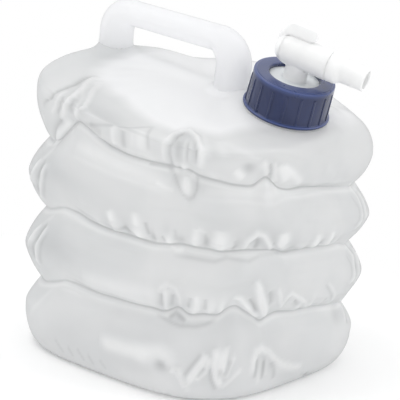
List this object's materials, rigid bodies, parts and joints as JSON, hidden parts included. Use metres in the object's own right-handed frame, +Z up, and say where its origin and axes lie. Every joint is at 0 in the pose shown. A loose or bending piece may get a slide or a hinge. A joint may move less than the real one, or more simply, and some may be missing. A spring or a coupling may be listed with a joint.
{
  "type": "collapsible water carrier",
  "caption": "Square concertina water carrier of frosted film with a hollow carrying handle, a threaded neck, a screw ring and a lever tap.",
  "frame": {"origin": "middle of the flat underside, on the surface that the carrier stands on", "axes": "+Z up; +X along the handle towards the neck and tap; +Y to the left of the handle as seen from the rear foot"},
  "size_m": [0.2518, 0.2298, 0.2701],
  "materials": {
    "film": "frosted translucent polyethylene, soft sheen",
    "navy_plastic": "moulded navy blue polypropylene, satin gloss",
    "white_plastic": "moulded natural white polyethylene, satin",
    "washer": "pale grey rubber"
  },
  "bodies": {
    "carrier_base": {"base_pan": "film", "bellows": "film"},
    "carrier_top": {"top_panel": "film", "carry_handle": "film", "neck": "film"},
    "washer": {"sealing_washer": "washer"},
    "ring": {"cap_ring": "navy_plastic"},
    "tap": {"tap_body": "white_plastic"},
    "core": {"tap_core": "white_plastic"}
  },
  "joints": [
    {"name": "bag_collapse", "type": "slide", "parent": "carrier_base", "child": "carrier_top", "axis": [0, 0, 1], "range_m": [-0.108, 0], "deforming": ["bellows"]},
    {"name": "cap_lift", "type": "slide", "parent": "carrier_top", "child": "washer", "axis": [0.2763, -0.1262, 0.9527], "range_m": [0, 0.0211]},
    {"name": "ring_turn", "type": "hinge", "parent": "washer", "child": "ring", "pos_m": [0.07146, 0, 0.20222], "axis": [0.2763, -0.1262, 0.9527], "range_deg": [0, 1260]},
    {"name": "tap_swivel", "type": "hinge", "parent": "washer", "child": "tap", "pos_m": [0.07146, 0, 0.20222], "axis": [0.2763, -0.1262, 0.9527], "continuous": true},
    {"name": "valve_turn", "type": "hinge", "parent": "tap", "child": "core", "pos_m": [0.08448, -0.00595, 0.2471], "axis": [-0.9354, -0.2629, 0.2365], "range_deg": [0, 90]}
  ],
  "couplings": [
    {"joint": "cap_lift", "follows": "ring_turn", "m_per_rad": 0.00095493}
  ]
}
